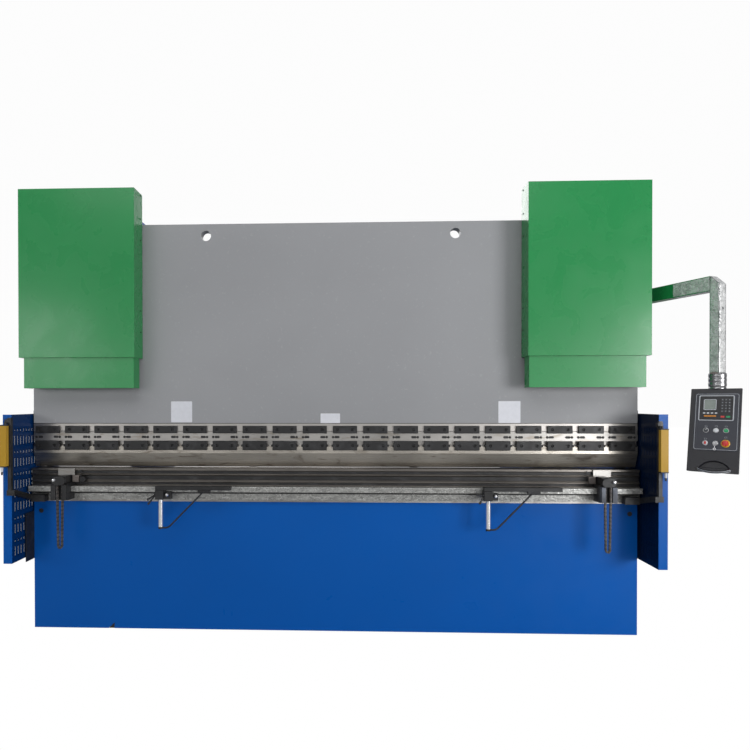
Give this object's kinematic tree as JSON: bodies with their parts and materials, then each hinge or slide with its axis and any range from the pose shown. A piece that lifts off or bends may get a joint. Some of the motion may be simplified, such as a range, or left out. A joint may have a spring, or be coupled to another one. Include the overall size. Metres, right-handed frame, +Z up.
{
  "type": "cnc hydraulic press brake",
  "caption": "Press brake with a tall ram plate between two cylinder covers, clamped punch, multi-groove die, sheet supports, side guards and a swinging control pendant.",
  "frame": {"origin": "on the floor, in the middle of the bed's length, in the bending plane", "axes": "+X to the operator's right along the bed, +Y to the rear, +Z up"},
  "size_m": [4.4968, 1.8043, 2.9],
  "materials": {
    "blue_paint": "gloss",
    "green_paint": "gloss",
    "grey_paint": "satin",
    "bare_steel": "ground",
    "tool_steel": "ground",
    "black_steel": "satin",
    "yellow_housing": "satin",
    "black_housing": "satin",
    "panel_face": "satin",
    "controls": "gloss",
    "chrome": "polished",
    "stainless": "satin"
  },
  "bodies": {
    "root": {"bed_plate": "blue_paint", "table_rail": "bare_steel", "front_guide_rail": "bare_steel", "lower_die": "tool_steel", "die_stops": "bare_steel", "right_side_frame": "blue_paint", "left_side_frame": "blue_paint", "base_plates": "blue_paint", "rear_beam": "blue_paint", "right_cylinder": "grey_paint", "left_cylinder": "grey_paint", "ram_guides": "bare_steel", "right_cover": "green_paint", "left_cover": "green_paint", "right_cover_skirt": "green_paint", "left_cover_skirt": "green_paint", "guard_posts": "blue_paint", "left_end_plate": "black_steel", "right_curtain_arm": "black_steel", "left_curtain_arm": "black_steel", "right_light_curtain": "yellow_housing", "left_light_curtain": "yellow_housing", "right_chain_bracket": "black_steel", "left_chain_bracket": "black_steel", "chain_wheels": "bare_steel", "right_chain": "black_steel", "left_chain": "black_steel", "pendant_bracket": "green_paint", "oil_tank": "blue_paint", "pump_motor": "grey_paint", "hydraulic_pipes": "stainless", "back_gauge_rails": "blue_paint", "back_gauge_beam": "bare_steel", "electrical_cabinet": "blue_paint"},
    "ram": {"ram_plate": "grey_paint", "clamp_rail": "bare_steel", "upper_clamp_plates": "black_steel", "lower_clamp_plates": "black_steel", "punch": "tool_steel", "piston_rods": "chrome"},
    "right_guard": {"right_guard": "blue_paint"},
    "left_guard": {"left_guard": "blue_paint"},
    "pendant_arm": {"pendant_arm": "green_paint", "pendant_tube": "green_paint", "pendant_collar": "stainless"},
    "pendant_head": {"pendant_box": "black_housing", "control_panel": "panel_face", "panel_buttons": "controls", "pendant_handle": "black_housing"},
    "left_carriage": {"left_support_carriage": "bare_steel"},
    "right_carriage": {"right_support_carriage": "bare_steel"},
    "left_support": {"left_support_arm": "bare_steel"},
    "right_support": {"right_support_arm": "bare_steel"}
  },
  "joints": [
    {"name": "ram_slide", "type": "slide", "parent": "root", "child": "ram", "axis": [0, 0, 1], "range_m": [0, 0.2]},
    {"name": "right_guard_hinge", "type": "hinge", "parent": "root", "child": "right_guard", "pos_m": [2.012, 0.14, 0.965], "axis": [0, 0, 1], "range_deg": [0, 95]},
    {"name": "left_guard_hinge", "type": "hinge", "parent": "root", "child": "left_guard", "pos_m": [-2.012, 0.14, 0.965], "axis": [0, 0, -1], "range_deg": [0, 95]},
    {"name": "pendant_arm_swing", "type": "hinge", "parent": "root", "child": "pendant_arm", "pos_m": [2.1, 0.107, 2.174], "axis": [0, 0, 1], "range_deg": [-5, 60]},
    {"name": "pendant_head_swivel", "type": "hinge", "parent": "pendant_arm", "child": "pendant_head", "pos_m": [2.29732, -0.35785, 1.687], "axis": [0, 0, 1], "range_deg": [-30, 60]},
    {"name": "left_support_slide", "type": "slide", "parent": "root", "child": "left_carriage", "axis": [1, 0, 0], "range_m": [-0.4, 0.9]},
    {"name": "right_support_slide", "type": "slide", "parent": "root", "child": "right_carriage", "axis": [1, 0, 0], "range_m": [-0.5, 0.2]},
    {"name": "left_support_swing", "type": "hinge", "parent": "left_carriage", "child": "left_support", "pos_m": [-1.094, -0.152, 0.953], "axis": [0, 0, 1], "range_deg": [-90, 0]},
    {"name": "right_support_swing", "type": "hinge", "parent": "right_carriage", "child": "right_support", "pos_m": [1.01, -0.152, 0.953], "axis": [0, 0, 1], "range_deg": [-90, 0]}
  ]
}
